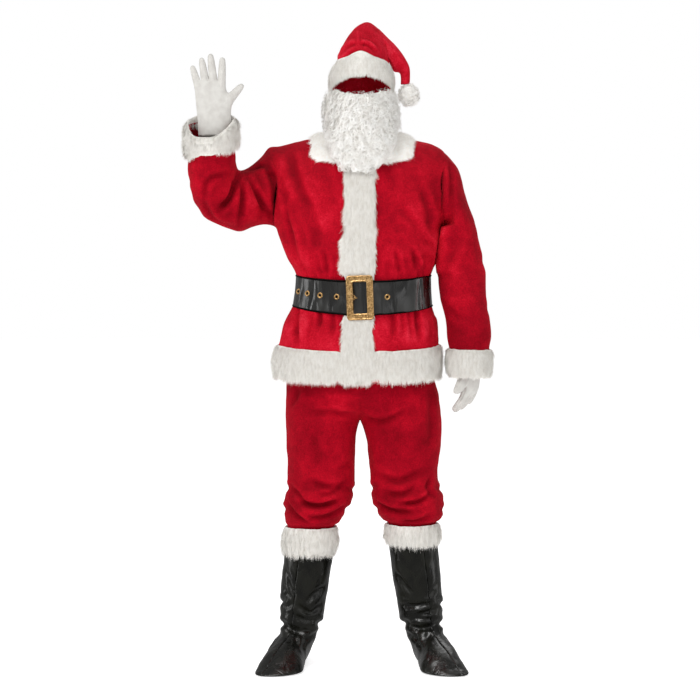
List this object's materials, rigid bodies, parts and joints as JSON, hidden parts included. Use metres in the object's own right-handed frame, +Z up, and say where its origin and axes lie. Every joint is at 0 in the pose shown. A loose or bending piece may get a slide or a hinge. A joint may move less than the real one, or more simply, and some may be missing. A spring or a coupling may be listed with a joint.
{
  "type": "santa suit",
  "caption": "Worn red plush santa suit with white fur trims: hat, curled beard, belted jacket, trousers, black boot covers and white gloves, one arm raised.",
  "frame": {"origin": "centre of the jacket's neck opening, where the wearer's shoulders hold the suit", "axes": "+X to the wearer's left, +Y to the wearer's back, +Z up; the front faces -Y"},
  "size_m": [0.8708, 0.4174, 1.8285],
  "materials": {
    "plush": "short pile, soft sheen",
    "fur": "long pile faux fur",
    "hair": "curled synthetic hair",
    "vinyl": "glossy, creased",
    "brass": "antique, hammered",
    "cotton": "fine knit, matt"
  },
  "bodies": {
    "root": {"hat_crown_left": "plush", "hat_crown_right": "plush", "jacket_back": "plush", "jacket_front_left": "plush", "jacket_front_right": "plush", "sleeve_left": "plush", "sleeve_right": "plush", "trouser_leg_left": "plush", "trouser_leg_right": "plush", "trouser_waistband": "plush", "boot_fur_left": "fur", "boot_fur_right": "fur", "fur_collar_left": "fur", "fur_collar_right": "fur", "fur_cuff_left": "fur", "fur_cuff_right": "fur", "fur_hem": "fur", "fur_placket": "fur", "hat_fur_band": "fur", "hat_pompom": "fur", "beard": "hair", "belt_strap": "vinyl", "boot_left_inner": "vinyl", "boot_left_outer": "vinyl", "boot_right_inner": "vinyl", "boot_right_outer": "vinyl", "belt_buckle": "brass", "belt_prong": "brass", "belt_eyelet_1": "brass", "belt_eyelet_2": "brass", "belt_eyelet_3": "brass", "belt_eyelet_4": "brass", "belt_eyelet_5": "brass", "belt_eyelet_6": "brass", "belt_eyelet_7": "brass", "glove_left_back": "cotton", "glove_left_palm": "cotton", "glove_right_back": "cotton", "glove_right_palm": "cotton"}
  },
  "joints": []
}
